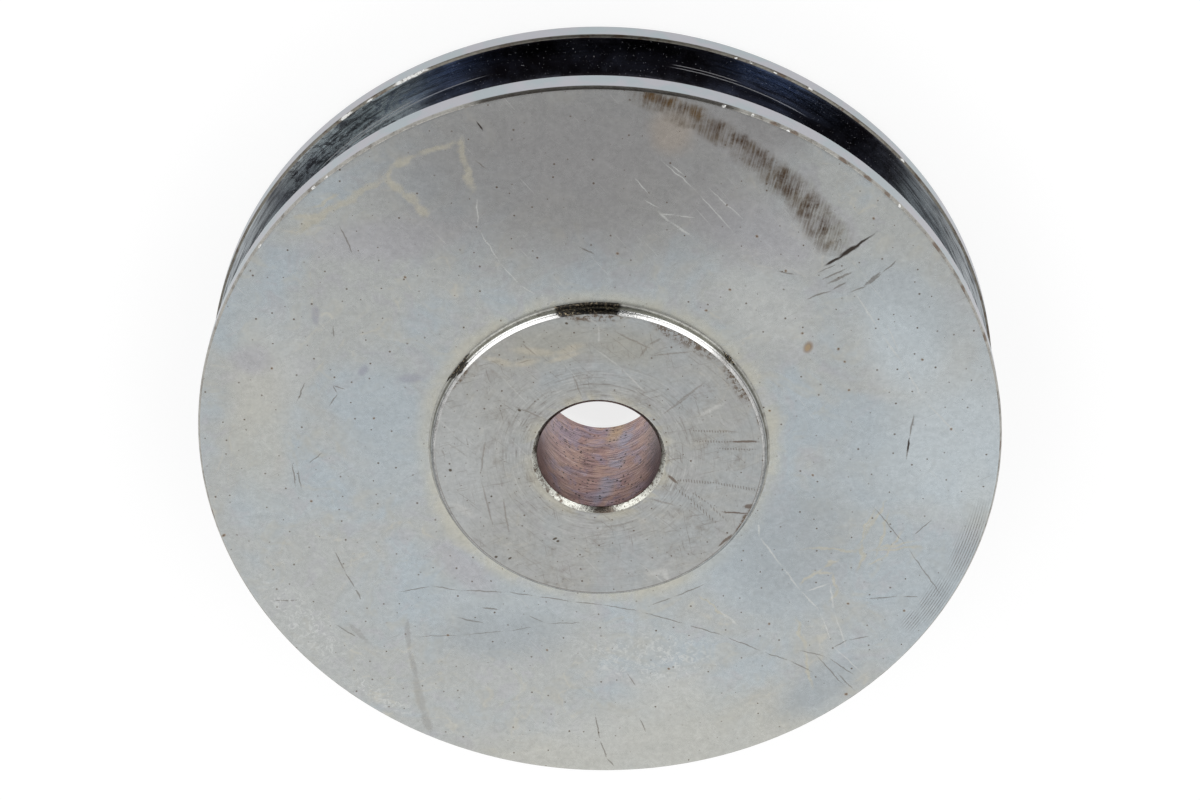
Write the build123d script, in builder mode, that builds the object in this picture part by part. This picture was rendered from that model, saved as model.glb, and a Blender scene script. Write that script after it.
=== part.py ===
"""Wire rope sheave: one steel disc turned all over, with a round-bottomed rope
groove, a low hub boss on each side and a plain bore for a pin.

Millimetres. The origin is the middle of the bore, and +Z runs up the bore.
"""

import os
from math import cos, radians, sin, tan

from build123d import *

# Rim
rim_diameter = 165.1        # over the two flanges, 6 1/2 in
rim_width = 28.6            # from flange face to flange face, 1 1/8 in
rim_edge_break = 0.7        # break on the outer corners, measured along the rim
rim_edge_angle = 30         # degrees that the break leans off the rim

# Rope groove, for 16 mm (5/8 in) rope
groove_radius = 8.5         # round bottom, a little over half the rope
groove_depth = 13.0         # from the rim to the bottom of the groove
groove_wall_angle = 6.5     # degrees that each wall leans outwards
groove_offset = -0.5        # groove's middle, measured up from the rim's
groove_mouth_break = 0.4    # break where the walls meet the rim

# Hub and bore
hub_diameter = 69.0         # boss on each side
hub_rise = 2.37             # boss above its flange face
hub_edge_break = 0.8        # 45 degree break on the boss
hub_root_radius = 0.6       # fillet where the boss meets the face
bore_diameter = 25.4        # running fit on a 1 in pin
bore_edge_break = 1.0       # 45 degree lead-in at both ends

# Sizes that follow
rim_radius = rim_diameter / 2
hub_radius = hub_diameter / 2
bore_radius = bore_diameter / 2
half_rim = rim_width / 2
half_hub = half_rim + hub_rise
groove_centre = rim_radius - groove_depth + groove_radius
lean = radians(groove_wall_angle)


def wall_point(radius, side):
    """A point on one groove wall at this radius; side is 1 for the upper wall."""
    half_gap = groove_radius / cos(lean) + (radius - groove_centre) * tan(lean)
    return (radius, groove_offset + side * half_gap)


def tangent_point(side):
    """Where one wall runs into the round bottom."""
    return wall_point(groove_centre - groove_radius * sin(lean), side)


def corners(section, radius, height):
    """The section's corners at this radius, above and below the middle."""
    return section.vertices().filter_by(
        lambda v: abs(v.X - radius) < 1e-4 and abs(abs(v.Y) - height) < 1e-4
    )


with BuildPart() as sheave:
    # Half section, with the radius along X and the bore's axis along Y
    with BuildSketch(Plane.XZ) as section:
        # Disc and hub, from the bore outwards
        with Locations((bore_radius, 0)):
            Rectangle(
                rim_radius - bore_radius,
                rim_width,
                align=(Align.MIN, Align.CENTER),
            )
            Rectangle(
                hub_radius - bore_radius,
                2 * half_hub,
                align=(Align.MIN, Align.CENTER),
            )

        # Rope groove: two leaning walls, tangent to a round bottom
        with BuildLine():
            bottom = ThreePointArc(
                tangent_point(1),
                (rim_radius - groove_depth, groove_offset),
                tangent_point(-1),
            )
            upper_wall = Line(bottom @ 0, wall_point(rim_radius, 1))
            lower_wall = Line(bottom @ 1, wall_point(rim_radius, -1))
            Line(upper_wall @ 1, lower_wall @ 1)
        make_face(mode=Mode.SUBTRACT)

        # Edges
        mouth = [wall_point(rim_radius, 1)[1], wall_point(rim_radius, -1)[1]]
        mouth_corners = section.vertices().filter_by(
            lambda v: abs(v.X - rim_radius) < 1e-4
            and min(abs(v.Y - height) for height in mouth) < 1e-4
        )
        chamfer(mouth_corners, groove_mouth_break)
        rim_lands = section.edges().filter_by(
            lambda e: abs(e.center().X - rim_radius) < 1e-4
        )
        outer_corners = corners(section, rim_radius, half_rim)
        face_break = rim_edge_break * tan(radians(rim_edge_angle))
        for land, corner in zip(
            rim_lands.sort_by(Axis.Y), outer_corners.sort_by(Axis.Y)
        ):
            chamfer(corner, rim_edge_break, face_break, reference=land)
        chamfer(corners(section, hub_radius, half_hub), hub_edge_break)
        fillet(corners(section, hub_radius, half_rim), hub_root_radius)
        chamfer(corners(section, bore_radius, half_hub), bore_edge_break)

    revolve(axis=Axis.Z)

sheave.part.label = "sheave"

os.makedirs("parts", exist_ok=True)
export_step(sheave.part, "parts/sheave.step")

# What was made
size = sheave.part.bounding_box().size
mouth_width = mouth[0] - mouth[1]
print(f"sheave: {size.X:.2f} x {size.Y:.2f} x {size.Z:.2f} mm, {len(sheave.faces())} faces")
print(f"groove mouth {mouth_width:.2f} mm, hub length {2 * half_hub:.2f} mm")
print(f"volume {sheave.part.volume / 1000:.1f} cm3")
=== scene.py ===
# %% [markdown]
# # Wire rope sheave
# A sheave is the grooved wheel inside a rope block. This one is a single steel
# disc, turned all over on a lathe and then thinly zinc plated. This file loads
# the engineering model of it, builds a finer copy of the turned shape, and
# gives every surface the finish of a used, plated part.

# %% Load the fixed frame
from math import atan2, cos, degrees, hypot, pi, radians, sin, tan

import bmesh
import bpy
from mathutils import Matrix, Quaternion, Vector


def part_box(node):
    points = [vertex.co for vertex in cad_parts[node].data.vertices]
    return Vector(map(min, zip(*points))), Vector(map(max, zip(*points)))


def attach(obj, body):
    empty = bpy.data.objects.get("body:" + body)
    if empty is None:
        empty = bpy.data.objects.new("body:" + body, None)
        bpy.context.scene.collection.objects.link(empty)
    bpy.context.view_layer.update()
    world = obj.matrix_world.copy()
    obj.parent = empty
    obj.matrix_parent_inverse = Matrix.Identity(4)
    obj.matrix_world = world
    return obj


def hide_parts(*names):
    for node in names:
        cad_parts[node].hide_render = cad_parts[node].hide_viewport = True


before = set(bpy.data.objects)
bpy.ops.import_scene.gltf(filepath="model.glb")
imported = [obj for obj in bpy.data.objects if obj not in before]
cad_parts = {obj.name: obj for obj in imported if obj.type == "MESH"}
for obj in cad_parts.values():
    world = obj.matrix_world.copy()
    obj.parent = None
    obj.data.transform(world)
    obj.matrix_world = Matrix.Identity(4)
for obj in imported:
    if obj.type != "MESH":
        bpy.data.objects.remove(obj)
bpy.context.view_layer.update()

# Blender works in metres. Points closer than MERGE count as one.
MM = 0.001
MERGE = 1e-6

# %% [markdown]
# ## The turned shape
# Everything on a lathe part is a ring, so the whole shape is one outline swept
# once round the axis. A cylinder with bevels could stand in for it, but the
# round-bottomed groove needs its own outline. So the outline is drawn as a row
# of corners, its edges are broken and its root rounded with vertex bevels, and
# a spin makes the wheel.

# %% Sizes of the outline
# Lengths are in millimetres. The rim's radius and the hub's height come from
# the frame.
low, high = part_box("sheave")
rim_radius = high.x / MM
half_hub = high.z / MM
half_rim = 14.3
rim_break = 0.7
rim_break_lean = radians(30)
rim_break_in = rim_break * tan(rim_break_lean)
hub_radius = 34.5
hub_break = 0.8
hub_root = 0.6
bore_radius = 12.7
bore_break = 1.0
groove_radius = 8.5
groove_depth = 13.0
groove_middle = -0.5
groove_lean = radians(6.5)
mouth_break = 0.4
worn_corner = 0.09
print("rim radius", round(rim_radius, 3), "half hub", round(half_hub, 3))

# %% [markdown]
# The outline also gets holding points, about half a millimetre from each
# rounded corner. Smooth shading bends the light over a whole face, so without
# them the flats beside a rounding would look dished. The outline's upper and
# lower halves meet at the middle of the bore, where a tiny gap is joined.

# %% Draw the outline
groove_centre = rim_radius - groove_depth + groove_radius
tangent_radius = groove_centre - groove_radius * sin(groove_lean)
hold = 0.5
tangent_hold = 0.6
middle_gap = 0.01
groove_steps = 24


def wall_point(radius, side):
    """A point on a groove wall; side is 1 for the upper wall, -1 for the lower."""
    half_gap = groove_radius / cos(groove_lean)
    half_gap += (radius - groove_centre) * tan(groove_lean)
    return radius, groove_middle + side * half_gap


def draw(bm, corners):
    """Joins a row of (radius, height) corners, in mm, with edges."""
    verts = [bm.verts.new((r * MM, 0, z * MM)) for r, z in corners]
    for first, second in zip(verts, verts[1:]):
        bm.edges.new((first, second))
    return verts


outline = bmesh.new()
named = {}
for side in (1, -1):
    mouth = wall_point(rim_radius, side)
    rows = {
        "middle": (bore_radius, 0 if side == 1 else -middle_gap),
        "bore hold": (bore_radius, side * (half_hub - bore_break - hold)),
        "bore": (bore_radius, side * half_hub),
        "lead hold": (bore_radius + bore_break + hold, side * half_hub),
        "hub hold": (hub_radius - hub_break - hold, side * half_hub),
        "hub": (hub_radius, side * half_hub),
        "root": (hub_radius, side * half_rim),
        "root hold": (hub_radius + hub_root + hold, side * half_rim),
        "face hold": (rim_radius - rim_break_in - hold, side * half_rim),
        "rim inner": (rim_radius - rim_break_in, side * half_rim),
        "rim outer": (rim_radius, side * (half_rim - rim_break)),
        "land hold": (rim_radius, side * (half_rim - rim_break - hold)),
        "mouth hold": (rim_radius, mouth[1] + side * (mouth_break + hold)),
        "mouth": mouth,
        "wall hold": wall_point(rim_radius - mouth_break - hold, side),
        "tangent hold": wall_point(tangent_radius + tangent_hold, side),
        "tangent": wall_point(tangent_radius, side),
    }
    named[side] = dict(zip(rows, draw(outline, rows.values())))
outline.edges.new((named[1]["middle"], named[-1]["middle"]))
bottom = bmesh.ops.spin(
    outline,
    geom=[named[1]["tangent"]],
    cent=(groove_centre * MM, 0, groove_middle * MM),
    axis=(0, -1, 0),
    dvec=(0, 0, 0),
    angle=pi - 2 * groove_lean,
    steps=groove_steps,
    use_merge=False,
    use_duplicate=False,
)
last = [item for item in bottom["geom_last"] if isinstance(item, bmesh.types.BMVert)][0]
miss = (last.co - named[-1]["tangent"].co).length / MM
print("groove bottom ends", miss, "mm from the wall")

# %% [markdown]
# A lathe hand breaks each sharp corner with a file or a chamfer tool, and use
# rounds the corners of that chamfer again. A bevel with one segment makes the
# flat break; a second, tiny one with three segments makes the worn corners,
# which are what catches the light along an edge.

# %% Break and round the corners
def ease(bm, corners, width, segments=1):
    """Bevels outline corners: one segment breaks an edge, several round it."""
    made = bmesh.ops.bevel(
        bm,
        geom=corners,
        offset=width * MM,
        offset_type="OFFSET",
        affect="VERTICES",
        segments=segments,
        profile=0.5,
        material=-1,
        clamp_overlap=True,
    )
    return made["verts"]


for side in (1, -1):
    corner = named[side]
    ease(outline, [corner["root"]], hub_root, segments=6)
    broken = [corner["rim inner"], corner["rim outer"]]
    broken += ease(outline, [corner["bore"]], bore_break)
    broken += ease(outline, [corner["hub"]], hub_break)
    broken += ease(outline, [corner["mouth"]], mouth_break)
    ease(outline, broken, worn_corner, segments=3)
bmesh.ops.remove_doubles(outline, verts=outline.verts, dist=MERGE)
print("outline corners:", len(outline.verts), "edges:", len(outline.edges))

# %% [markdown]
# One full turn of the outline round the bore makes the wheel. With this many
# steps the rim is within 0.004 mm of a true circle. The last step is merged
# with the first, so there is no seam, and only edges that are sharper than the
# angle stay crisp.

# %% Spin the wheel
wheel_steps = 360
sharp_angle = radians(24)
bmesh.ops.spin(
    outline,
    geom=outline.verts[:] + outline.edges[:],
    cent=(0, 0, 0),
    axis=(0, 0, 1),
    dvec=(0, 0, 0),
    angle=2 * pi,
    steps=wheel_steps,
    use_merge=True,
    use_duplicate=False,
)
bmesh.ops.remove_doubles(outline, verts=outline.verts, dist=MERGE)
bmesh.ops.recalc_face_normals(outline, faces=outline.faces)
wheel = bpy.data.meshes.new("turned_wheel")
outline.to_mesh(wheel)
outline.free()
for face in wheel.polygons:
    face.use_smooth = True
wheel.set_sharp_from_angle(angle=sharp_angle)
sheave = bpy.data.objects.new("turned_wheel", wheel)
bpy.context.scene.collection.objects.link(sheave)
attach(sheave, "root")
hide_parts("sheave")
print("wheel:", len(wheel.vertices), "vertices,", len(wheel.polygons), "faces")

# %% [markdown]
# ## A bench for finishes
# Each surface of the wheel has had a different life: the faces were rubbed by
# the block's side plates, the groove was polished by rope, the bore by its pin.
# So each gets its own material. Nodes could be placed one by one, as in the
# editor, but a finish here has hundreds. The functions below place a node and
# fill its sockets, and the class after them is a bench for one finish, with a
# short call for each thing that a pattern is made of.

# %% Place a node
def fill(tree, node, wires):
    """Fills a node's sockets with other nodes' outputs, or with plain values."""
    for key, value in dict(wires).items():
        if isinstance(value, bpy.types.NodeSocket):
            tree.links.new(value, node.inputs[key])
        else:
            node.inputs[key].default_value = value


def place_node(tree, kind, wires=(), **settings):
    """Adds a node of this kind to a tree, with its settings and its wires."""
    node = tree.nodes.new("ShaderNode" + kind)
    for key, value in settings.items():
        setattr(node, key, value)
    fill(tree, node, wires)
    return node


def work_out(tree, operation, *values):
    """Works out one value from others."""
    return place_node(tree, "Math", dict(enumerate(values)), operation=operation).outputs[0]


# %% [markdown]
# Patterns are laid out in millimetres on the face, with X to the right and Y up
# as the maker sees it from the front. That is the wheel's own frame turned half
# round.

# %% The finish bench
class Finish:
    """A metal material, and short calls for the nodes of its pattern."""

    def __init__(self, name):
        self.material = bpy.data.materials.new(name)
        self.material.use_nodes = True
        self.tree = self.material.node_tree
        self.shader = self.tree.nodes["Principled BSDF"]
        self.shader.inputs["Metallic"].default_value = 1.0
        where = self.node("TexCoord").outputs["Object"]
        self.place = self.mapping(where, turn=180, scale=(1 / MM,) * 3, kind="POINT")

    def node(self, kind, wires=(), **settings):
        """Adds a node to this material."""
        return place_node(self.tree, kind, wires, **settings)

    def mapping(self, vector, at=(0, 0, 0), turn=0, scale=(1, 1, 1), kind="TEXTURE"):
        """Centres, turns and scales a pattern."""
        wires = {
            "Vector": vector,
            "Location": at,
            "Rotation": (0, 0, radians(turn)),
            "Scale": scale,
        }
        return self.node("Mapping", wires, vector_type=kind).outputs[0]

    def math(self, operation, *values):
        """Works out one value from others, in this material."""
        return work_out(self.tree, operation, *values)

    def times(self, first, second):
        """Dims one value by another."""
        return self.math("MULTIPLY", first, second)

    def away(self, value, centre):
        """How far a value lies from a centre, to either side."""
        return self.math("ABSOLUTE", self.math("SUBTRACT", value, centre))

    def ridges(self, value, pitch):
        """A wave of this pitch, such as the marks of a tool that feeds evenly."""
        return self.math("SINE", self.times(value, 2 * pi / pitch))

    def vector(self, operation, *values):
        """Works out one vector from others. A plain number fills all three axes."""
        wires = {k: (v,) * 3 if isinstance(v, (int, float)) else v for k, v in enumerate(values)}
        return self.node("VectorMath", wires, operation=operation).outputs[0]

    def axis(self, number, vector=None):
        """The place along x, y or z, which are numbered 0, 1 and 2."""
        place = self.place if vector is None else vector
        return self.node("SeparateXYZ", {0: place}).outputs[number]

    def spread(self, value, start, end, low=0.0, high=1.0, smooth=True):
        """Stretches start..end to low..high, with soft ends."""
        kind = "SMOOTHSTEP" if smooth else "LINEAR"
        wires = {0: value, 1: start, 2: end, 3: low, 4: high}
        return self.node("MapRange", wires, interpolation_type=kind).outputs[0]

    def noise(self, vector, size, detail=2, rough=0.5, distortion=0.0, output="Fac"):
        """Cloudy noise whose blots are about size millimetres."""
        wires = {
            "Vector": vector,
            "Scale": 1 / size,
            "Detail": detail,
            "Roughness": rough,
            "Distortion": distortion,
        }
        return self.node("TexNoise", wires).outputs[output]

    def blend(self, share, first, second, mode="MIX"):
        """Mixes two colours by a share from 0 to 1."""
        paint = [c if isinstance(c, bpy.types.NodeSocket) else (*c, 1) for c in (first, second)]
        wires = {0: share, 6: paint[0], 7: paint[1]}
        return self.node("Mix", wires, data_type="RGBA", blend_type=mode).outputs[2]

    def cover(self, tone, paint, hill, start, end, strength, keep=None):
        """Paints over a tone where a hill rises from start to end; keep limits it."""
        share = self.spread(hill, start, end, 0, strength)
        if keep is not None:
            share = self.times(share, keep)
        return self.blend(share, tone, paint)

    def grey(self, level):
        """A grey of this level, to multiply a colour by."""
        return self.node("CombineXYZ", {0: level, 1: level, 2: level}).outputs[0]

    def blot(self, vector, x, y, long, wide, turn=0):
        """A round or oval hill: 1 in its middle, 0 from its edge outwards."""
        local = self.mapping(vector, (x, y, 0), turn, (long, wide, 1e4))
        return self.node("TexGradient", {0: local}, gradient_type="SPHERICAL").outputs["Fac"]

    def blots(self, vector, ovals):
        """The highest of several hills."""
        top = None
        for oval in ovals:
            hill = self.blot(vector, *oval)
            top = hill if top is None else self.math("MAXIMUM", top, hill)
        return top

    def warped(self, vector, size, push):
        """Shifts a pattern about by up to push millimetres, in waves of this size."""
        wave = self.noise(vector, size, output="Color")
        centred = self.vector("SUBTRACT", wave, 0.5)
        return self.vector("MULTIPLY_ADD", centred, 2 * push, vector)

    def stripe(self, at, slope, half_width):
        """A soft stripe down the bore, through one x and z. Slope is its x per z."""
        x, _, z = self.node("SeparateXYZ", {0: self.place}).outputs
        along = self.math("MULTIPLY_ADD", z, -slope, x)
        off = self.away(along, at[0] - slope * at[1])
        return self.spread(off, half_width, 0.2 * half_width)

    def pits(self, vector, spacing, most, flat=False):
        """Dots of mixed sizes, the largest with this radius in millimetres."""
        wires = {"Vector": vector, "Scale": 1 / spacing}
        cell = self.node("TexVoronoi", wires, voronoi_dimensions="2D" if flat else "3D")
        chance = self.node("SeparateColor", {0: cell.outputs["Color"]}).outputs[0]
        near = self.math("DIVIDE", cell.outputs["Distance"], chance)
        return self.spread(near, 0.6 * most / spacing, 1.3 * most / spacing, 1, 0)

    def streaks(self, vector, turn, long, wide, start, end, detail=2):
        """Short parallel strokes that lie along one direction."""
        local = self.mapping(vector, turn=turn, scale=(long, wide, long))
        return self.spread(self.noise(local, 1, detail), start, end)

    def radius(self):
        """Distance from the bore's axis, in millimetres."""
        flat = self.vector("MULTIPLY", self.place, (1, 1, 0))
        return self.node("VectorMath", {0: flat}, operation="LENGTH").outputs["Value"]

    def rings(self, spin, across):
        """Coordinates for ring patterns: across counts the rings, and spin says how
        much a ring changes on its way round."""
        flat = self.vector("NORMALIZE", self.vector("MULTIPLY", self.place, (1, 1, 0)))
        around = self.vector("MULTIPLY", flat, spin)
        return self.vector("ADD", around, self.node("CombineXYZ", {"Z": across}).outputs[0])

    def finish(self, colour, rough, bump, depth, dust_and_glints=None):
        """Wires the colour, the roughness and a bump of this depth in millimetres. Dust and
        painted glints are the share that is covered, and so isn't metal."""
        dent = self.node("Bump", {"Height": bump, "Strength": 1.0, "Distance": depth * MM})
        wires = {"Base Color": colour, "Roughness": rough, "Normal": dent.outputs[0]}
        if dust_and_glints is not None:
            wires["Metallic"] = self.math("SUBTRACT", 1.0, dust_and_glints)
        fill(self.tree, self.shader, wires)
        print(self.material.name, "-", len(self.tree.nodes), "nodes")
        return self.material


half_share = 0.62


def segments(lines):
    """Turns (width, points) lines into narrow ovals, one for each straight piece.
    Half an oval is more than half its piece, so that the next one runs into it."""
    ovals = []
    for width, points in lines:
        for (x0, y0), (x1, y1) in zip(points, points[1:]):
            long = hypot(x1 - x0, y1 - y0) * half_share + width
            turn = degrees(atan2(y1 - y0, x1 - x0))
            ovals.append(((x0 + x1) / 2, (y0 + y1) / 2, long, width, turn))
    return ovals


# %% [markdown]
# ## Marks on the face
# Years of use left single marks that noise can't give: the arc where the side
# plate rubbed, a gouge at its end, scratches across the plating, and outlines
# where liquid dried. They are written as lines and ovals, in millimetres from
# the middle of the bore. Each kind has its own colour later.

# %% Scratches on the face
# Every line is (width, points).
scratches = [
    (0.3, [(42, 35.5), (47, 37.5), (50, 39.5)]),
    (0.3, [(45, 40), (50, 42.5)]),
    (0.2, [(44, 41.5), (48, 43.5)]),
    (0.24, [(50.5, 37), (54, 38.5), (57, 41.5), (60, 44.5)]),
    (0.6, [(53.6, 38.6), (56.6, 41.6)]),
    (0.45, [(46, 39), (51, 41.6)]),
    (0.24, [(36, 42), (40, 41)]),
    (0.24, [(0, 46), (-3, 47.5)]),
    (0.3, [(63, -2.5), (63.6, 3), (64.2, 8.5)]),
    (0.2, [(-23, 67), (-21, 65)]),
    (0.24, [(-50.5, 53), (-48, 46)]),
    (0.24, [(-61.5, 12), (-59.5, 17)]),
    (0.2, [(-53, 27), (-53, 30)]),
    (0.2, [(-63.5, -2.5), (-63, -8.5)]),
    (0.2, [(-62.5, -4), (-61.8, -9.5)]),
    (0.2, [(-60, -3), (-57, 0)]),
    (0.2, [(-55, 11), (-53, 14), (-54, 16), (-51.5, 15)]),
    (0.2, [(-43, -35), (-36, -33.5), (-30, -34.5), (-20, -35), (-14, -36)]),
    (0.2, [(-14, -36), (-6, -37.5), (0, -38.3), (8, -40), (18, -43.5)]),
    (0.2, [(18, -43.5), (26, -46.5), (34, -50.5), (40, -53), (45, -56)]),
    (0.34, [(-25.5, -39), (-22, -39.5)]),
    (0.24, [(-31, -41.5), (-25, -43)]),
    (0.2, [(-70, -37), (-64, -37)]),
    (0.24, [(-56, -24), (-54, -30), (-52, -34), (-51, -37)]),
    (0.2, [(-57, -43), (-52, -47)]),
    (0.14, [(-40, -46.5), (-30, -46), (-20, -45), (-15, -44)]),
    (0.16, [(-16, -41), (-12, -43), (-4, -43)]),
    (0.24, [(-2, -67), (-1, -74), (0.5, -79), (2, -81)]),
    (0.2, [(5, -56), (7, -60)]),
    (0.2, [(7.5, -68), (9, -72)]),
    (0.2, [(10, -38.5), (15, -36.5), (22, -33)]),
    (0.18, [(56, -13), (64, -24), (72, -37)]),
    (0.18, [(65, -21), (69, -17)]),
    (0.2, [(55, -37), (63, -36.3), (67, -36.5)]),
    (0.2, [(49, -49.5), (52, -47.5), (57, -46.5)]),
    (0.2, [(41, -50), (48, -52), (54, -57)]),
    (0.2, [(45, -51), (52, -60)]),
    (0.2, [(50, -56), (54, -61)]),
]
pale_lines = [
    (0.22, [(13, 67), (20, 60), (28, 50)]),
    (0.18, [(15, 66), (18, 63)]),
    (0.18, [(22, 61), (30, 53)]),
    (0.4, [(12.5, 55.5), (15, 53), (19, 50)]),
    (0.2, [(13, 55), (16, 54.5), (20, 54)]),
    (0.18, [(8, 63), (11, 59)]),
    (0.18, [(10, 58), (13, 56)]),
    (0.3, [(51, 38), (57, 28), (62, 20), (66, 12), (74, 3)]),
    (0.2, [(58, 30), (61, 23)]),
    (0.3, [(33, -18), (33, -21), (38, -29), (42, -35), (46, -40)]),
    (0.2, [(46, -40), (49, -49), (56, -57)]),
    (0.2, [(-23, 59), (-23, 52), (-19, 44), (-15, 39), (-12, 37)]),
    (0.3, [(43, -35), (48, -33), (49, -40), (52, -50)]),
    (0.4, [(25, -40), (29, -44)]),
]
print(len(scratches), "dark scratches and", len(pale_lines), "pale ones")

# %% Dried edges and streaks on the face
stain_edges = [
    (1.0, [(-40, 62), (-39.5, 65), (-34, 68), (-27, 71), (-25, 70)]),
    (1.4, [(-26, 71), (-25, 66), (-24, 60.5)]),
    (1.4, [(-41, 63), (-37, 60.5), (-35, 57.5), (-33, 55)]),
    (1.3, [(-60, 51), (-50, 58), (-41, 63)]),
    (1.1, [(-60, 54), (-52, 56), (-46, 60)]),
    (0.8, [(-56, 57), (-50, 60)]),
    (0.6, [(59, -12), (55, -22), (54, -30)]),
    (0.5, [(57, -14), (54, -24)]),
    (0.6, [(60, -15), (57, -27)]),
    (0.5, [(63, -20), (59, -27), (56, -28)]),
    (0.5, [(42, -24.5), (55, -24.5), (68, -24.5)]),
    (0.6, [(57, -24), (66, -23)]),
    (0.6, [(42, -33), (46, -29), (50, -27)]),
    (0.6, [(44, -30), (48, -31), (50, -35), (48, -38)]),
    (0.7, [(41, -42), (43, -50), (45, -60)]),
    (0.4, [(20, -36), (27, -42)]),
]
grainy_streaks = [
    (0.9, [(-41.5, -42), (-41.5, -50), (-40, -58)]),
    (1.5, [(-40.5, -57), (-39, -67), (-38, -71)]),
    (1.0, [(-54, -43), (-50, -48)]),
]

print(len(stain_edges), "dried edges and", len(grainy_streaks), "streaks")

# %% [markdown]
# Ovals are (x, y, half length, half width, turn). The rub arc follows the rim
# from the top to the right, a little further in as it goes. The gouge is a few
# long ovals on one line, so that it tapers as a real gouge does.

# %% The rub arc and the gouges
def beside_rim(angle, inwards):
    """A point this far in from the rim, at an angle counted from the right."""
    a = radians(angle)
    return (rim_radius - inwards) * cos(a), (rim_radius - inwards) * sin(a)


rub_top = 85
rub_arc = [
    (
        *beside_rim(angle, 1 + 0.36 * (rub_top - angle)),
        7.5,
        2.6 + 0.06 * (rub_top - angle),
        angle - 98,
    )
    for angle in (81, 76, 71, 65, 59, 53, 48)
]
rub_clumps = [
    (10.8, 80.3, 1.8, 1.4, 80),
    (14, 79.7, 2.8, 1.1, -10),
    (17.5, 78.2, 2.2, 1.5, 80),
    (24, 73.9, 3, 2, 78),
    (28.5, 71.3, 3.4, 1.9, -30),
    (32.4, 67.1, 4.2, 2.6, -35),
    (37, 62.8, 2.8, 2, 72),
    (38.4, 60.8, 3.8, 3, 70),
    (42.3, 56, 3.8, 2.6, 68),
    (45, 52, 3.4, 2.4, 66),
]
rub_start = [
    (11.2, 80.2, 2.4, 1.5, -10),
    (15.5, 79.4, 3, 1.3, -8),
    (20, 77, 3, 1.9, -30),
]
gouges = [
    (51, 47, 7.2, 0.4, 38),
    (50.3, 46.5, 3.4, 0.7, 36),
    (47.1, 44.2, 2.6, 0.42, 32),
    (63.4, 1.2, 2.2, 0.25, 84),
    (-21.9, 74.4, 1.6, 0.25, -57),
]
print(len(rub_clumps), "clumps in the rub arc and", len(gouges), "gouges")

# %% Patches of another tone, and painted shade
# Painted shade: the top of the face is painted darker, for the dim ceiling that it mirrors.
painted_shade = [
    (-3, 67, 60, 35, 0),
    (28, 78, 26, 13, -32),
]
cream_patches = [
    (8, 65, 7, 8, 20),
    (78, -10, 5, 14, 12),
    (22, -74, 40, 22, 8),
    (-12, -82, 36, 14, 0),
    (-70, 8, 9, 30, 0),
]
pale_patches = [
    (66, 22, 30, 18, -62),
    (10, -76, 40, 14, 0),
    (14, -62, 13, 9, 0),
    (-66, 18, 22, 10, 80),
    (34, 34, 18, 10, -45),
]
peach_patches = [
    (15.5, 73, 6.5, 7, 0),
]
ice_patches = [
    (74, 0, 22, 26, 0),
    (62, 24, 18, 10, -62),
]
dusk_patches = [
    (40, -24, 19, 22, 0),
    (-22, -46, 20, 9, 0),
    (46, -60, 14, 7, 40),
]
blue_patches = [
    (56, -4, 16, 20, 0),
    (32, -32, 22, 15, -40),
    (62, 34, 20, 12, -45),
    (-22, -38, 26, 10, -10),
    (-44, 4, 12, 26, 10),
    (70, -38, 22, 14, 70),
    (-33, 62, 8, 6, 30),
]
violet_patches = [
    (-2, 68, 26, 14, 0),
    (-40, 50, 26, 7, 8),
    (30, 52, 22, 10, -30),
    (28, 72, 16, 8, -25),
    (-70, 22, 6, 5, 0),
    (-29, -29, 12, 5, -45),
]
violet_blots = [
    (-56.5, 32.5, 1.2, 3.2, 0),
    (-47.5, 19.5, 2, 1.2, 60),
    (-38, 17.5, 3.8, 1.6, 0),
]
turned_zones = [
    (*beside_rim(-17, 2.5), 14, 4, 73),
    (*beside_rim(-28, 3), 9, 3.5, 62),
    (65.5, -42.5, 3.6, 2.4, 60),
    (68.5, -37.5, 3.4, 2.2, 60),
]
chalky_zones = [
    (*beside_rim(214, 6), 20, 7, 124),
    (*beside_rim(232, 4), 12, 4, 142),
    (10, -52, 22, 10, 0),
]
print(len(blue_patches), "blue and", len(violet_patches), "violet patches")

# %% Rust spots
small_rust = [
    (35, 9.5), (35.3, -43.3), (52, -38.3), (63.8, -40), (32, 49.8), (26.7, 37.7),
    (22, 33), (37.8, 42), (41.3, 27.7), (48.6, 24), (50, 21), (54.9, 53.7),
    (51, 14.4), (65.5, 21.4), (72, 5), (4.4, 46), (-38, 41), (-46, 8), (-60, -12),
    (-33, -46), (14, -55), (-66, 20), (44, -6), (-12, -50),
]
rust_spots = [(x, y, 0.4, 0.4, 0) for x, y in small_rust] + [
    (42.5, 24.5, 1.3, 1.7, -20),
    (52, -61.8, 0.5, 0.5, 0),
    (-79, -20.5, 0.6, 0.4, 30),
]
rust_hearts = [
    (42.4, 24.4, 0.75, 1.1, -20),
]
print(len(rust_spots), "rust spots")

# %% [markdown]
# The hub face, the groove and the broken edges have their own marks. Chatter
# marks on the hub are bars of fine hatching where a side plate dragged.

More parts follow.
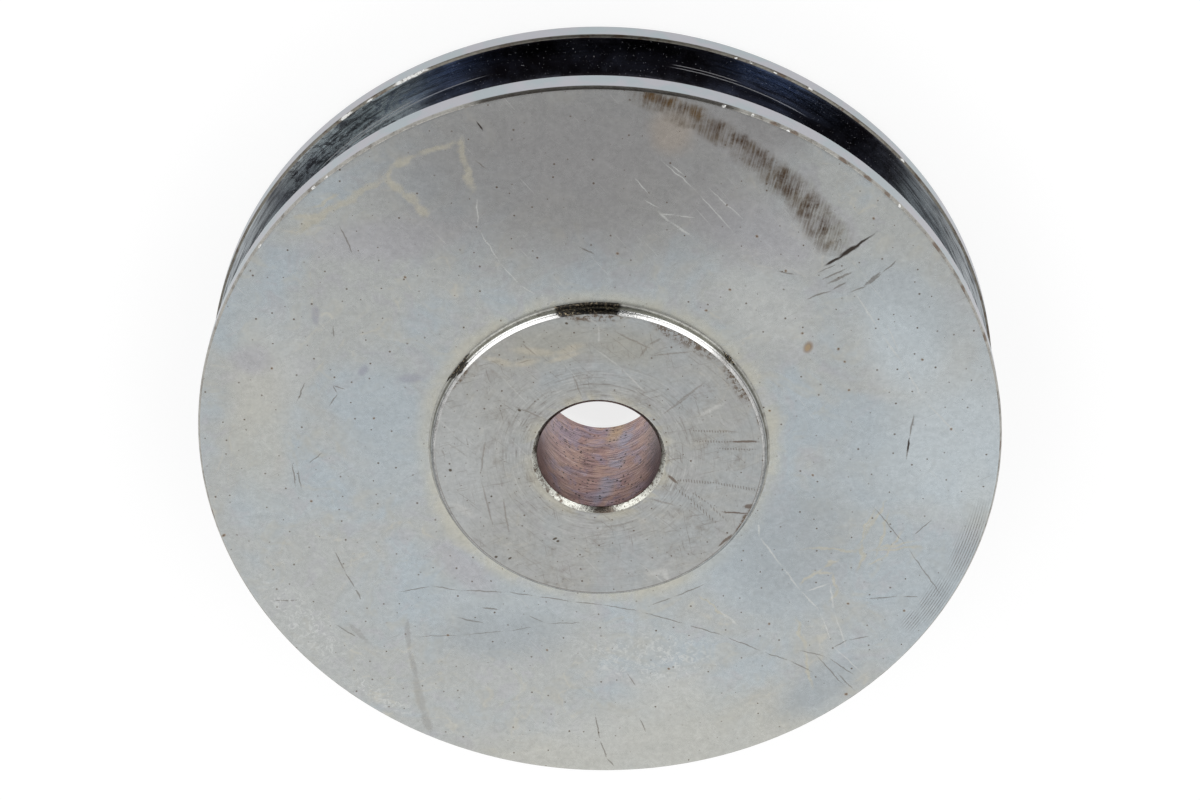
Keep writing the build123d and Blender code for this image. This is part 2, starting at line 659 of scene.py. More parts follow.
# %% Marks on the hub
hub_bars = [
    (0.45, [(26.5, 3.6), (33, 3.6)]),
    (0.5, [(14.3, -4.5), (16, -6.2)]),
    (0.35, [(25, -13.5), (31, -13.9)]),
    (0.9, [(30, -12.2), (32.4, -12.2)]),
    (0.8, [(28.2, -18.6), (30.3, -15.4)]),
    (0.5, [(24.5, -22), (27.5, -19)]),
]
hub_hatching = [
    (0.45, [(16, -5.6), (24, -6.4), (32.5, -8.2)]),
    (0.4, [(16, -7.8), (19, -10.6), (24, -16)]),
    (0.3, [(19, -8.6), (22, -11), (26, -15.5)]),
    (0.3, [(20, 3.7), (27, 3.6)]),
    (0.3, [(24, 1.9), (32, 1.7)]),
    (0.3, [(19, 6.4), (27, 5.8)]),
]
hub_scratches = [
    (0.25, [(24, 6.2), (29, 6)]),
    (0.35, [(8.5, 23.5), (10.5, 26.5), (13, 28)]),
    (0.25, [(-17.5, 12.5), (-10.5, 9)]),
    (0.35, [(15, 12), (22, 18)]),
    (0.3, [(-5, 20), (-3, 14)]),
    (0.35, [(10, -10), (16, -12)]),
    (0.3, [(-23, 5), (-24.5, -5), (-22, -18)]),
    (0.3, [(-20, -9), (-19, -19)]),
    (0.3, [(-15, 27), (-12, 24)]),
    (0.3, [(3, 30), (12, 25)]),
    (0.3, [(10, 24), (20, 25)]),
    (0.3, [(13, 10), (19, 15)]),
]
hub_pale = [
    (0.3, [(0, 25.5), (5, 21), (10, 15)]),
    (0.4, [(-3, 34), (0.5, 31), (0.5, 27)]),
    (0.3, [(8, -26), (14, -32)]),
    (1.6, [(-30, -11.5), (-26.5, -14)]),
    (1.2, [(9.5, -29), (13, -28), (14, -30.5)]),
    (0.8, [(20, 9.5), (26, 13)]),
]
hub_stains = [
    (1.3, [(-22, 23.5), (-17, 22), (-12, 23)]),
    (1.6, [(-17, 25.5), (-8, 24.5), (-3, 26.5)]),
    (1.0, [(-10, 22.5), (-3, 25)]),
]
hub_cream = [
    (-9, 27, 17, 8, 5),
    (6, 26, 12, 7, -10),
]
hub_ice = [
    (-29, -4, 10, 24, 0),
]
hub_spots = [
    (-30.6, -3, 0.42, 0.42, 0),
    (-22.4, -9.4, 0.3, 0.3, 0),
    (-22, -24.5, 0.5, 0.4, 30),
    (-19, -24.8, 0.6, 0.3, 40),
    (-9.5, -20, 0.7, 0.3, 30),
    (-8.9, -20.6, 0.4, 0.4, 0),
    (-16, 11.3, 0.5, 0.35, -30),
    (-24.5, 27, 0.4, 0.3, 0),
    (-6, 31.5, 0.4, 0.3, 0),
]
hub_rim_grime = [
    (18, 27.5, 10, 3, -33),
    (28.5, 17, 7, 2.2, -58),
    (33, 9, 4, 1, 100),
    (30.2, -15.6, 4.4, 1.2, 62),
    (-28, 19, 5, 1.2, 55),
    (0, 33, 8, 1.6, 0),
]
print(len(hub_scratches + hub_pale), "scratches,", len(hub_bars), "bars on the hub")

# %% Painted reflections and highlights in the groove
# Painted reflections: a blue sheen on each wall, a slate patch and silver ends.
painted_groove_sheen = [
    (37, 70, 17, 5, -28),
    (-33, 71, 17, 5, 25),
]
painted_groove_slate = [
    (-50, 61, 24, 10, 40),
]
painted_groove_ends = [
    (74, 32, 34, 12, -67),
    (-76, 30, 30, 12, 68),
]
# Painted highlights along the line where the wall meets the round bottom.
painted_tangent_shine = [
    (-40.5, 65.6, 25, 8, 32),
    (29, 71.3, 17, 6, -22),
]
painted_second_shine = [
    (-46, 61.5, 14, 6, 38),
    (22, 73.8, 8, 4, -16),
]
print(len(painted_tangent_shine + painted_second_shine), "bright stretches in the groove")

# %% Marks, painted shade and painted highlights on the broken edges
# Grime on the hub's edge, and painted shade: the black patch at its near side and the dark
# streaks at both sides.
hub_edge_grime_and_shade = [
    (-1.8, 34.3, 7.2, 2.6, 0),
    (-28.2, 20.1, 4.6, 0.28, 54),
    (-27.2, 20.8, 2.2, 0.22, 54),
    (26.6, 22.2, 2.4, 0.16, -50),
]
# Painted shadow on the bore's lead-in, speckled like grime.
painted_bore_shadow = [
    (1, -13.2, 3.4, 1.4, 0),
]
# Painted highlights: two bright arcs on the hub's edge, where it mirrors the soft boxes.
painted_hub_highlights = [
    (-18, 29, 15, 5, 33),
    (14.5, 31, 14, 5, -25),
]
# Painted glints: pale specks where small dents on the edges would catch the lamps.
painted_mouth_glints = [
    (-37, 73.5, 5.5, 0.4, 27),
    (-50.5, 65.0, 2.2, 0.35, 38),
    (-45.5, 68.5, 1.2, 0.3, 34),
    (28, 77.3, 0.5, 0.2, -20),
    (31, 76.2, 0.4, 0.2, -22),
    (36, 74, 0.6, 0.2, -26),
    (43, 70.2, 0.8, 0.2, -32),
    (62, 54.3, 0.8, 0.2, -49),
]
# Painted glints on the rim's edge.
painted_rim_glints = [
    (25.5, 78.2, 0.6, 0.25, -18),
    (31, 76.1, 0.4, 0.3, -22),
    (38, 72.9, 0.5, 0.25, -28),
    (60, 56.3, 0.5, 0.4, -47),
    (-55, 61, 0.9, 0.3, 42),
    (-52.5, 63.3, 0.7, 0.25, 40),
    (-66.5, 48.2, 0.6, 0.35, 54),
    (-63, -53, 0.4, 0.3, -50),
]
rim_shadow = [
    (-6, 82, 24, 3.2, 4),
    (17, 80.5, 14, 3, -12),
]
rim_brown = [
    (35, 74.4, 1.2, 0.5, -27),
    (39, 72.4, 1.4, 0.5, -27),
    (48.5, 66.4, 1.6, 0.5, -37),
    (53.5, 62.4, 1.4, 0.5, -41),
    (57.5, 58.8, 1.2, 0.5, -45),
    (67.5, 47, 2.0, 0.8, -55),
    (73, 37.5, 1.6, 0.8, -63),
    (78, 26.5, 1.4, 0.8, -71),
    (82, 1, 2.4, 0.6, 90),
    (54, -62, 2.4, 0.6, 43),
    (60, -56.5, 2, 0.6, 47),
    (-80.5, -15, 2, 0.8, 100),
]
print(len(painted_mouth_glints + painted_rim_glints), "glints,", len(rim_brown), "brown marks on the rim")

# %% [markdown]
# A material with every mark would be slow, because each point of the face
# would weigh them all. The face is therefore finished in eight sectors, like
# slices of a cake, and each slice carries only the marks that reach it. The
# plating below is the same pattern in all of them, so no joint shows.

# %% Sort marks into sectors
SECTORS = 8
margin = 2


def sector_at(angle):
    """The slice of the face at an angle, counted in degrees from the right."""
    return int(angle % 360 / (360 / SECTORS))


def reaches(oval, sector):
    """True if an oval, with a margin in millimetres, touches this slice."""
    x, y, long, wide, turn = oval
    for along in (-1, -0.5, 0, 0.5, 1):
        px = x + along * long * cos(radians(turn))
        py = y + along * long * sin(radians(turn))
        middle = degrees(atan2(py, px))
        spread = degrees(atan2(wide + margin, max(hypot(px, py), 1)))
        for angle in (middle - spread, middle, middle + spread):
            if sector_at(angle) == sector:
                return True
    return False


def reaching(ovals, sector):
    """The ovals that reach a sector. The plain face has none."""
    return [] if sector is None else [oval for oval in ovals if reaches(oval, sector)]


def hills(bench, at, ovals, sector):
    """The ovals that reach a sector, as hills. Where none does, the first stands in."""
    return bench.blots(at, reaching(ovals, sector) or ovals[:1])


for sector in range(SECTORS):
    pieces = reaching(segments(scratches + pale_lines), sector)
    print("sector", sector, "-", len(pieces), "line pieces")

# %% [markdown]
# ## Zinc on the faces
# Thin zinc with a clear passivation is never one grey: it drifts between a
# cold blue and a warm yellow film, with dried tide lines between them. A slow
# noise and a finer one mix these tones, and the tide lines lie where the slow
# one crosses one level. Over them lie a grain, hairlines in two directions and
# small pits, which are what handling leaves on any plated face.

# %% The plating
NEUTRAL = (0.47, 0.485, 0.475)
CREAM = (0.52, 0.51, 0.455)
BLUE = (0.45, 0.5, 0.53)
VIOLET = (0.45, 0.45, 0.47)
# The last colour is for the painted shade at the top of the face.
PAINTED_SHADE = (0.305, 0.3, 0.297)


def plating(bench, at):
    """Mottled blue and yellow passivated zinc: its colour, and the wisps in it."""
    cloud = bench.noise(at, 24, 3, 0.6, 0.8)
    wisps = bench.noise(at, 7, 4, 0.6, 1.2)
    tone = bench.blend(bench.spread(cloud, 0.45, 0.68), NEUTRAL, BLUE)
    tone = bench.cover(tone, CREAM, wisps, 0.52, 0.7, 0.42)
    tone = bench.cover(tone, VIOLET, wisps, 0.48, 0.34, 0.5)
    shore = bench.away(cloud, 0.46)
    tide = bench.spread(wisps, 0.46, 0.6)
    return bench.cover(tone, (0.58, 0.56, 0.49), shore, 0.016, 0, 0.45, keep=tide), wisps


def graze(bench, tone):
    """Lays the grain, hairlines and pits over a colour. Returns the grain too."""
    grain = bench.noise(bench.place, 1.1, 5, 0.85)
    drift = bench.noise(bench.place, 4.5, 4, 0.7, 2.0)
    fine_level = bench.spread(grain, 0.2, 0.8, 0.83, 1.17, smooth=False)
    slow_level = bench.spread(drift, 0.2, 0.8, 0.9, 1.1, smooth=False)
    level = bench.grey(bench.times(fine_level, slow_level))
    tone = bench.blend(1.0, tone, level, "MULTIPLY")
    dark = bench.streaks(bench.place, 28, 11, 0.3, 0.68, 0.8)
    tone = bench.cover(tone, (0.27, 0.26, 0.24), dark, 0, 1, 0.35)
    pale = bench.streaks(bench.place, -52, 13, 0.4, 0.66, 0.8)
    tone = bench.cover(tone, (0.64, 0.64, 0.62), pale, 0, 1, 0.35)
    pits = bench.pits(bench.place, 3.8, 0.23, flat=True)
    patchy = bench.spread(drift, 0.42, 0.52)
    tone = bench.cover(tone, (0.11, 0.075, 0.05), pits, 0, 1, 0.85, keep=patchy)
    return tone, grain


# %% [markdown]
# The marks go on in the order in which they are likely to have come: stains in
# the plating first, then scratches, then the grain of handling, and the rub,
# the gouges and the rust last. Lines are broken up with a fine noise, because a
# scratch skips over the low spots of a surface.

# %% Stains and scratches of the face
def tint(bench, tone, at, sector):
    """The broad patches of one sector, with the painted shade over the top of the face."""
    for ovals, paint, strength in (
        (pale_patches, (0.53, 0.545, 0.535), 0.75),
        (cream_patches, CREAM, 0.55),
        (blue_patches, BLUE, 0.7),
        (ice_patches, (0.54, 0.595, 0.625), 0.8),
        (dusk_patches, (0.395, 0.43, 0.45), 0.8),
        (violet_patches, VIOLET, 0.8),
        (painted_shade, PAINTED_SHADE, 0.85),
        (peach_patches, (0.4, 0.355, 0.31), 0.75),
    ):
        if reaching(ovals, sector):
            hill = hills(bench, at, ovals, sector)
            tone = bench.cover(tone, paint, hill, 0, 0.7, strength)
    return tone


def draw_lines(bench, tone, at, ovals, paint, soft, strength):
    """Broken lines: soft ones fade at their sides."""
    start, end = (0.1, 0.75) if soft else (0.2, 0.55)
    broken = bench.noise(bench.place, 0.32, 3, 0.75)
    hill = bench.math("SUBTRACT", bench.blots(at, ovals), 0.45)
    ragged = bench.math("MULTIPLY_ADD", broken, 0.9, hill)
    return bench.cover(tone, paint, ragged, start, end, strength)


def line_marks(bench, tone, loose, fine, sector):
    """Stain outlines, pale lines, grainy streaks and scratches of one sector."""
    for lines, at, paint, soft, strength in (
        (stain_edges, bench.warped(loose, 2.8, 1.1), (0.54, 0.505, 0.4), True, 0.55),
        (pale_lines, fine, (0.63, 0.64, 0.62), True, 0.6),
        (grainy_streaks, fine, (0.24, 0.22, 0.2), False, 0.28),
        (scratches, fine, (0.17, 0.15, 0.13), False, 0.65),
    ):
        ovals = reaching(segments(lines), sector)
        if ovals:
            tone = draw_lines(bench, tone, at, ovals, paint, soft, strength)
    return tone


# %% [markdown]
# The rub is an arc of short strokes that lie nearly across the rim, with darker
# clumps in it. The strokes are one stretched noise, and they also decide how
# much of each clump shows, so the two look like one wear mark.

# %% Rub, gouges and rust of the face
def rub(bench, tone, loose, sector):
    """The brown arc of short strokes that a side plate rubbed into the zinc."""
    if not reaching(rub_arc + rub_clumps, sector):
        return tone
    strokes = bench.streaks(bench.place, 76, 4, 0.32, 0.32, 0.68, 4)
    arc = hills(bench, bench.warped(loose, 1.5, 0.8), rub_arc, sector)
    brushed = bench.math("MULTIPLY_ADD", strokes, 0.7, 0.4)
    patchy = bench.spread(bench.noise(bench.place, 3, 4, 0.7), 0.34, 0.6, 0.45, 1)
    brushed = bench.times(brushed, patchy)
    tone = bench.cover(tone, (0.14, 0.11, 0.08), arc, 0, 0.6, 0.9, keep=brushed)
    ragged = bench.warped(bench.place, 1.6, 1.4)
    clumps = hills(bench, ragged, rub_clumps, sector)
    tone = bench.cover(tone, (0.07, 0.042, 0.026), clumps, 0, 0.95, 1, keep=brushed)
    first_end = hills(bench, ragged, rub_start, sector)
    return bench.cover(tone, (0.13, 0.08, 0.035), first_end, 0, 0.8, 0.9, keep=brushed)


def spots(bench, tone, fine, sector):
    """Violet blots, gouges and rust spots of one sector."""
    for ovals, paint, start, end, strength in (
        (violet_blots, (0.3, 0.3, 0.37), 0, 0.7, 0.45),
        (gouges, (0.035, 0.024, 0.018), 0.05, 0.6, 0.95),
        (rust_spots, (0.27, 0.17, 0.09), 0, 0.5, 0.6),
        (rust_spots, (0.1, 0.065, 0.045), 0.45, 0.8, 0.8),
        (rust_hearts, (0.42, 0.32, 0.21), 0.1, 0.5, 0.95),
    ):
        if reaching(ovals, sector):
            hill = hills(bench, fine, ovals, sector)
            tone = bench.cover(tone, paint, hill, start, end, strength)
    return tone


# %% [markdown]
# The face puts these layers together, with a warm film round the foot of the
# hub. Near the rim, the tool that faced the disc left fine ridges, and in other
# places the plating has gone chalky.

# %% The face material
tool_pitch = 0.55


def face_zinc(name, sector=None):
    """The plated face. With a sector, the marks that reach it are laid on top."""
    bench = Finish(name)
    loose = bench.warped(bench.place, 7, 1.6)
    fine = bench.warped(bench.place, 2.2, 0.35)
    tone, wisps = plating(bench, loose)
    film = bench.spread(wisps, 0.3, 0.55, 0.35)
    ring = bench.radius()
    foot = (hub_radius + 4.7, hub_radius + 1.1)
    tone = bench.cover(tone, (0.56, 0.545, 0.465), ring, *foot, 0.7, keep=film)
    tone = tint(bench, tone, loose, sector)
    tone = line_marks(bench, tone, loose, fine, sector)
    tone, grain = graze(bench, tone)
    if reaching(turned_zones, sector):
        ridges = bench.ridges(ring, tool_pitch)
        zone = bench.spread(hills(bench, loose, turned_zones, sector), 0, 0.7)
        worn = bench.times(zone, bench.spread(grain, 0.38, 0.52))
        tone = bench.cover(tone, (0.14, 0.13, 0.12), ridges, -0.1, 0.8, 0.6, keep=worn)
    if reaching(chalky_zones, sector):
        flecks = bench.noise(bench.place, 1.3, 4, 0.7, 1.5)
        zone = bench.spread(hills(bench, loose, chalky_zones, sector), 0, 0.7)
        tone = bench.cover(tone, (0.64, 0.655, 0.64), flecks, 0.5, 0.62, 0.65, keep=zone)
    tone = rub(bench, tone, loose, sector)
    tone = spots(bench, tone, fine, sector)
    rough = bench.spread(wisps, 0.3, 0.7, 0.22, 0.32, smooth=False)
    return bench.finish(tone, rough, grain, 0.006)


finishes = {f"face_zinc_{n}": face_zinc(f"face_zinc_{n}", n) for n in range(SECTORS)}
finishes["back_zinc"] = face_zinc("back_zinc")

# %% [markdown]
# ## The hub face
# A side plate bears on the hub, so it is duller and browner than the flange:
# rings from turning and rubbing run round the bore, straight scuffs cross it,
# and grime has collected along its broken edge. The scuffs are too many to draw
# one by one, so a noise is stretched in three directions and kept in patches.

# %% The hub material
chatter_pitch = 0.55


def scuffs(bench, at):
    """Thin straight scuffs in three directions, as a hub gets from handling."""
    top = None
    for turn, long, start in ((14, 7, 0.62), (100, 5, 0.63), (-42, 9, 0.62)):
        lines = bench.streaks(at, turn, long, 0.22, start, start + 0.1)
        top = lines if top is None else bench.math("MAXIMUM", top, lines)
    return top


def hub_lines(bench, tone, fine):
    """The single marks of the hub face."""
    for lines, paint, soft, strength in (
        (hub_stains, (0.54, 0.5, 0.41), True, 0.6),
        (hub_pale, (0.58, 0.58, 0.56), True, 0.55),
        (hub_scratches, (0.22, 0.19, 0.16), False, 0.45),
        (hub_bars, (0.14, 0.1, 0.075), False, 0.8),
    ):
        tone = draw_lines(bench, tone, fine, segments(lines), paint, soft, strength)
    across = bench.axis(0, bench.mapping(bench.place, turn=6))
    hatch = bench.ridges(across, chatter_pitch)
    bars = bench.spread(bench.blots(fine, segments(hub_hatching)), 0, 0.4)
    return bench.cover(tone, (0.16, 0.13, 0.105), hatch, -0.3, 0.8, 0.55, keep=bars)


def hub_zinc(name):
    """The hub face, rubbed by the side plate and stained brown at its edges."""
    bench = Finish(name)
    fine = bench.warped(bench.place, 2.2, 0.3)
    ring = bench.radius()
    loose = bench.warped(bench.place, 4, 1.0)
    tone, wisps = plating(bench, loose)
    tone = bench.blend(0.5, tone, (0.39, 0.385, 0.37))
    turning = bench.noise(bench.rings(1.3, ring), 0.36, 3, 0.65)
    near_bore = bench.spread(ring, 26, 16, 0.3, 1)
    tone = bench.cover(tone, (0.24, 0.22, 0.2), turning, 0.52, 0.7, 0.6, keep=near_bore)
    tone = bench.cover(tone, (0.58, 0.58, 0.56), turning, 0.46, 0.32, 0.5, keep=near_bore)
    film = bench.spread(wisps, 0.4, 0.56)
    tone = bench.cover(tone, (0.55, 0.52, 0.42), ring, 16.5, 14, 0.55, keep=film)
    smoke = bench.noise(bench.place, 6, 5, 0.75, 0.6)
    tone = bench.cover(tone, (0.25, 0.22, 0.19), smoke, 0.52, 0.72, 0.45)
    tone = bench.cover(tone, (0.4, 0.39, 0.345), bench.blots(loose, hub_cream), 0, 0.8, 0.7)
    tone = bench.cover(tone, (0.5, 0.52, 0.525), bench.blots(loose, hub_ice), 0, 0.8, 0.6)
    tone = hub_lines(bench, tone, fine)
    tone, grain = graze(bench, tone)
    worn = bench.spread(smoke, 0.42, 0.56, 0.15, 1)
    tone = bench.cover(tone, (0.17, 0.14, 0.115), scuffs(bench, fine), 0, 1, 0.45, keep=worn)
    low_side = bench.spread(bench.axis(1), 6, -10)
    edge_line = (hub_radius - 1.1, hub_radius - 0.9)
    tone = bench.cover(tone, (0.12, 0.1, 0.085), ring, *edge_line, 0.75, keep=low_side)
    near_edge = bench.spread(ring, hub_radius - 4, hub_radius - 1.5)
    edge = bench.times(bench.spread(bench.blots(fine, hub_rim_grime), 0, 0.5), near_edge)
    tone = bench.cover(tone, (0.13, 0.09, 0.06), grain, 0.46, 0.56, 0.9, keep=edge)
    specks = bench.pits(bench.warped(bench.place, 0.6, 0.3), 2.4, 0.15, flat=True)
    patchy = bench.spread(wisps, 0.4, 0.6)
    tone = bench.cover(tone, (0.13, 0.095, 0.07), specks, 0, 1, 0.7, keep=patchy)
    tone = bench.cover(tone, (0.09, 0.07, 0.05), bench.blots(fine, hub_spots), 0, 0.5, 0.9)
    rough = bench.spread(wisps, 0.3, 0.7, 0.28, 0.4, smooth=False)
    return bench.finish(tone, rough, grain, 0.012)


finishes["hub_zinc"] = hub_zinc("hub_zinc")

# %% [markdown]
# ## The bore
# The pin has worn the zinc away and left a copper pink steel, scored round and round with fine
# lines. The scoring is one noise squashed along the axis, so every line runs round the bore. A
# bluish streak runs down the middle with a golden patch in it, and both sides are darkened with
# painted shade.

# %% The bore material
def bore_metal(name):
    """The bore, worn through the zinc and stained copper pink by its pin."""
    bench = Finish(name)
    wavy = bench.warped(bench.place, 7, 0.3)
    scores = bench.noise(bench.mapping(wavy, scale=(6, 6, 0.25)), 1, 5, 0.9)
    bands = bench.noise(bench.mapping(wavy, scale=(9, 9, 1.1)), 1, 3, 0.6)
    cloud = bench.noise(wavy, 5, 3, 0.6, 0.8, output="Color")
    pink, violet, patch = bench.node("SeparateColor", {0: cloud}).outputs
    tone = bench.blend(bench.spread(pink, 0.4, 0.62), (0.31, 0.19, 0.18), (0.4, 0.26, 0.215))
    tone = bench.cover(tone, (0.27, 0.22, 0.29), violet, 0.48, 0.64, 0.75)
    streak = bench.stripe((3.2, -1), -0.22, 2.8)
    tone = bench.cover(tone, (0.3, 0.31, 0.4), patch, 0.36, 0.6, 0.75, keep=streak)
    gold = bench.times(bench.stripe((3, -14), -0.22, 2.6), bench.spread(bench.axis(2), -6, -13))
    tone = bench.cover(tone, (0.5, 0.36, 0.2), gold, 0, 1, 0.6)
    side = bench.axis(0)
    # Painted shade: both sides of the bore are darkened, one far more than the other.
    tone = bench.cover(tone, (0.07, 0.04, 0.045), side, 8.2, 12.3, 0.88)
    tone = bench.cover(tone, (0.16, 0.1, 0.1), side, -9.5, -12.5, 0.5)
    tone = bench.cover(tone, (0.12, 0.075, 0.075), bands, 0.5, 0.34, 0.35)
    tone = bench.cover(tone, (0.68, 0.54, 0.5), scores, 0.52, 0.64, 0.8)
    tone = bench.cover(tone, (0.05, 0.03, 0.03), scores, 0.49, 0.39, 0.95)
    dots = bench.pits(bench.warped(bench.place, 0.7, 0.25), 0.85, 0.3)
    patchy = bench.spread(patch, 0.4, 0.5)
    tone = bench.cover(tone, (0.03, 0.02, 0.02), dots, 0, 1, 0.95, keep=patchy)
    return bench.finish(tone, 0.33, scores, 0.06)


finishes["bore_metal"] = bore_metal("bore_metal")

# %% [markdown]
# ## The groove
# Wire rope polishes a groove and greases it. The groove's black is painted shade, for the dark
# that it mirrors, and grease. Towards the sides of the wheel it is painted silver with fine
# rings, a painted reflection, as are the blue sheen and the slate patch. Dust on the grease is
# not metal, so the shader is told where it lies. Two short painted highlights mark where the
# straight wall runs into the round bottom, and are not metal either. The painted blue sheen fades
# between two distances from the axis, so that it lies mostly on the wall.

# %% The groove material
# The painted blue sheen fades between these radii.
painted_sheen_fade = (76.4, 77.8)


def groove_rings(bench):
    """Fine rings that follow the groove's outline down one wall and up the other."""
    along = bench.math("MULTIPLY_ADD", bench.axis(2), -2.0, bench.radius())
    return bench.noise(bench.rings(3, along), 0.4, 3, 0.7)


def groove_metal(name):
    """The groove, polished and greased by rope: painted shade, painted reflections and
    highlights, and dust on it.
    """
    bench = Finish(name)
    rings = groove_rings(bench)
    cloud = bench.noise(bench.place, 6, 5, 0.75)
    speck = bench.noise(bench.place, 0.4, 3, 0.7)
    loose = bench.warped(bench.place, 5, 2)
    # The black base is painted shade, for the dark that the groove mirrors, and grease.
    tone = bench.blend(bench.spread(cloud, 0.42, 0.62), (0.045, 0.041, 0.047), (0.1, 0.104, 0.13))
    # Painted reflection: the blue sheen.
    painted_sheen = bench.blots(loose, painted_groove_sheen)
    on_wall = bench.spread(bench.radius(), *painted_sheen_fade, 0.15, 1)
    tone = bench.cover(tone, (0.34, 0.41, 0.56), painted_sheen, 0, 0.8, 1, keep=on_wall)
    # Painted reflection: the slate patch, streaked by the grease.
    painted_slate = bench.blots(loose, painted_groove_slate)
    grease = bench.noise(bench.mapping(loose, turn=38, scale=(2.6, 0.9, 0.9)), 1, 4, 0.75)
    streaky = bench.spread(grease, 0.36, 0.56, 0.12, 1)
    tone = bench.cover(tone, (0.56, 0.61, 0.63), painted_slate, 0, 0.5, 1, keep=streaky)
    # Painted reflection: silver towards the sides of the wheel.
    ends = bench.spread(bench.blots(loose, painted_groove_ends), 0, 0.6)
    tone = bench.cover(tone, (0.42, 0.45, 0.47), ends, 0, 1, 0.9)
    tone = bench.cover(tone, (0.05, 0.05, 0.055), rings, 0.47, 0.62, 0.75)
    tone = bench.cover(tone, (0.62, 0.65, 0.66), rings, 0.42, 0.3, 0.6, keep=ends)
    dust_and_glints = bench.spread(speck, 0.62, 0.74, 0, 0.75)
    # Painted highlights: the bright lines where the wall meets the round bottom.
    for above, ovals in ((0.15, painted_tangent_shine), (0.7, painted_second_shine)):
        line = bench.spread(bench.away(bench.radius(), tangent_radius + above), 0.14, 0.03)
        painted_shine = bench.spread(bench.blots(bench.place, ovals), 0, 0.3, 0, 0.8)
        dust_and_glints = bench.math("MAXIMUM", dust_and_glints, bench.times(line, painted_shine))
    tone = bench.cover(tone, (0.42, 0.42, 0.43), dust_and_glints, 0, 1, 1)
    rough = bench.spread(cloud, 0.3, 0.7, 0.1, 0.24, smooth=False)
    return bench.finish(tone, rough, rings, 0.012, dust_and_glints=dust_and_glints)


finishes["groove_metal"] = groove_metal("groove_metal")

# %% [markdown]
# ## Lands and broken edges
# The two narrow lands of the rim never touch anything and keep a pale plating.
# The broken edges are bare steel with grime on them, and small dents that glint. Such dents are
# too small for the mesh, so their glints are painted on as pale specks. Part of the grime on the
# hub's edge and root is painted shade, the rim's edge carries a painted shadow, and one patch on
# the bore's lead-in is a painted shadow too. Two stretches of the hub's edge get painted
# highlights, with a thin dark line inside them, to help the lamps there.

# %% Land and edge materials
dark_line_in = 0.28


def land_zinc(name):
    """The two lands of the rim, the least worn plating: pale lavender."""
    bench = Finish(name)
    cloud = bench.noise(bench.place, 8, 3, 0.6)
    grain = bench.noise(bench.place, 0.6, 4, 0.75)
    tone = bench.blend(bench.spread(cloud, 0.4, 0.6), (0.40, 0.45, 0.475), (0.45, 0.45, 0.485))
    tone = bench.cover(tone, (0.25, 0.22, 0.2), grain, 0.35, 0.2, 0.5)
    return bench.finish(tone, 0.4, grain, 0.01)


def edge_metal(name, colour, rough, dirt, grime_and_shade=(), brown=(), glints=(), shadow=(), bright=()):
    """A broken edge: bare steel with grime caught on it, painted shade, shadow and highlights,
    and painted glints.
    """
    bench = Finish(name)
    dulled = tuple(c * 0.6 for c in colour)
    fine = bench.warped(bench.place, 1.5, 0.4)
    speck = bench.noise(bench.place, 0.45, 3, 0.75)
    cloud = bench.noise(bench.place, 2.6, 4, 0.7)
    tone = bench.blend(bench.spread(cloud, 0.4, 0.6, 0, 0.5), colour, dulled)
    tone = bench.cover(tone, (0.1, 0.07, 0.05), cloud, 0.54, 0.64, dirt)
    tone = bench.cover(tone, (0.13, 0.11, 0.09), speck, 0.52, 0.64, dirt)
    # Painted highlights on the hub's edge, with a thin dark line inside them.
    if bright:
        arcs = bench.blots(bench.place, bright)
        tone = bench.cover(tone, (0.95, 0.95, 0.93), arcs, 0, 0.3, 0.9)
        off = bench.away(bench.radius(), hub_radius - dark_line_in)
        tone = bench.cover(tone, (0.2, 0.2, 0.19), bench.spread(off, 0.12, 0.04), 0, 1, 0.7)
    # Brown marks; on the bore's lead-in this is a painted shadow.
    if brown:
        tone = bench.cover(tone, (0.16, 0.11, 0.08), bench.blots(fine, brown), 0.1, 0.6, 0.75)
    if shadow:
        tone = bench.cover(tone, (0.05, 0.045, 0.04), bench.blots(fine, shadow), 0, 0.3, 0.85)
    # Grime, and painted shade, on the hub's edge and root.
    if grime_and_shade:
        black = bench.spread(bench.blots(fine, grime_and_shade), 0.02, 0.14)
        speckled = bench.spread(speck, 0.52, 0.66)
        mottled = bench.blend(speckled, (0.018, 0.015, 0.013), (0.4, 0.33, 0.22))
        tone = bench.blend(bench.times(black, 0.94), tone, mottled)
    dust_and_glints = None
    # Painted glints: pale specks that are not metal.
    if glints:
        dust_and_glints = bench.spread(bench.blots(fine, glints), 0.1, 0.5)
        dust_and_glints = bench.times(dust_and_glints, bench.spread(speck, 0.36, 0.5))
        tone = bench.cover(tone, (0.9, 0.9, 0.88), dust_and_glints, 0, 1, 1)
    return bench.finish(tone, rough, speck, 0.06, dust_and_glints=dust_and_glints)


finishes["land_zinc"] = land_zinc("land_zinc")
hub_edge_marks_and_light = {"grime_and_shade": hub_edge_grime_and_shade, "bright": painted_hub_highlights}
rim_marks_and_light = {"brown": rim_brown, "glints": painted_rim_glints, "shadow": rim_shadow}
for name, colour, rough, dirt, marks in (
    ("hub_edge", (0.62, 0.62, 0.61), 0.16, 0.3, hub_edge_marks_and_light),
    ("hub_root", (0.4, 0.4, 0.37), 0.3, 0.3, {"grime_and_shade": hub_edge_grime_and_shade}),
    ("bore_edge", (0.58, 0.58, 0.53), 0.2, 0.9, {"brown": painted_bore_shadow}),
    ("rim_edge", (0.42, 0.41, 0.38), 0.3, 0.4, rim_marks_and_light),
    ("mouth_edge", (0.2, 0.19, 0.165), 0.3, 0.8, {"glints": painted_mouth_glints}),
):
    finishes[name] = edge_metal(name, colour, rough, dirt, **marks)

